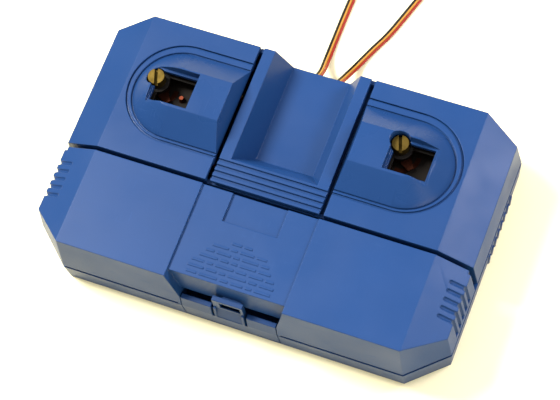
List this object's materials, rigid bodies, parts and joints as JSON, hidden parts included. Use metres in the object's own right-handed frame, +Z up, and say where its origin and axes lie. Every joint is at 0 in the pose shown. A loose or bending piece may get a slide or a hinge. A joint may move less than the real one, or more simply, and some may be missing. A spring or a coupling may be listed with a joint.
{
  "type": "train set controller",
  "caption": "Battery train controller: octagonal blue case, two humps with lever openings over slotted spindles, open trough, lift-off battery lid with front latch, two ribbon cables.",
  "frame": {"origin": "middle of the flat underside, on the table plane", "axes": "+X to the operator's right along the long side, +Y to the back where the cables leave, +Z up"},
  "size_m": [0.2146, 0.2041, 0.0528],
  "materials": {
    "blue_plastic": "semi-gloss moulded plastic",
    "brown_phenolic": "dark brown moulded phenolic",
    "board": "brown paper-phenolic sheet",
    "brass": "turned brass, lightly tarnished",
    "copper": "copper alloy strip, rolled",
    "steel": "zinc-plated steel",
    "cell": "printed metal jacket with bare ends",
    "black_plastic": "black moulded plastic",
    "black_pvc": "black PVC insulation",
    "yellow_pvc": "yellow PVC insulation",
    "red_pvc": "red PVC insulation"
  },
  "bodies": {
    "case": {"base_tray": "blue_plastic", "rear_cover": "blue_plastic", "centre_console": "blue_plastic", "left_hump_cover": "blue_plastic", "right_hump_cover": "blue_plastic", "left_control_housing": "brown_phenolic", "right_control_housing": "brown_phenolic", "left_bush": "brown_phenolic", "right_bush": "brown_phenolic", "left_contact_tracks": "copper", "right_contact_tracks": "copper", "feed_posts": "copper", "left_contact_board": "board", "right_contact_board": "board", "control_screws": "steel", "case_screws": "steel", "clamp_screws": "steel", "negative_spring": "steel", "negative_plate": "steel", "positive_plate": "steel", "cable_clamp": "black_plastic", "left_black_core": "black_pvc", "right_black_core": "black_pvc", "negative_lead": "black_pvc", "negative_link": "black_pvc", "left_yellow_core": "yellow_pvc", "right_yellow_core": "yellow_pvc", "left_red_core": "red_pvc", "right_red_core": "red_pvc", "positive_lead": "red_pvc", "positive_link": "red_pvc", "left_battery": "cell", "middle_battery": "cell", "right_battery": "cell"},
    "lid": {"battery_lid": "blue_plastic"},
    "latch": {"lid_latch": "blue_plastic"},
    "left_control": {"left_spindle": "brass", "left_wiper": "copper", "left_spacer": "brown_phenolic", "left_retaining_clip": "steel"},
    "right_control": {"right_spindle": "brass", "right_wiper": "copper", "right_spacer": "brown_phenolic", "right_retaining_clip": "steel"}
  },
  "joints": [
    {"name": "lid_lift", "type": "slide", "parent": "case", "child": "lid", "axis": [0, 0, 1], "range_m": [0, 0.06]},
    {"name": "latch_flex", "type": "hinge", "parent": "case", "child": "latch", "pos_m": [0, -0.0611, 0.0046], "axis": [1, 0, 0], "range_deg": [0, 8], "stiffness_Nm_per_rad": 0.4},
    {"name": "left_lever_turn", "type": "hinge", "parent": "case", "child": "left_control", "pos_m": [-0.0722, 0.0314, 0.043], "axis": [0, 0, 1], "range_deg": [-45, 45]},
    {"name": "right_lever_turn", "type": "hinge", "parent": "case", "child": "right_control", "pos_m": [0.0537, 0.0342, 0.043], "axis": [0, 0, 1], "range_deg": [-45, 45]}
  ]
}
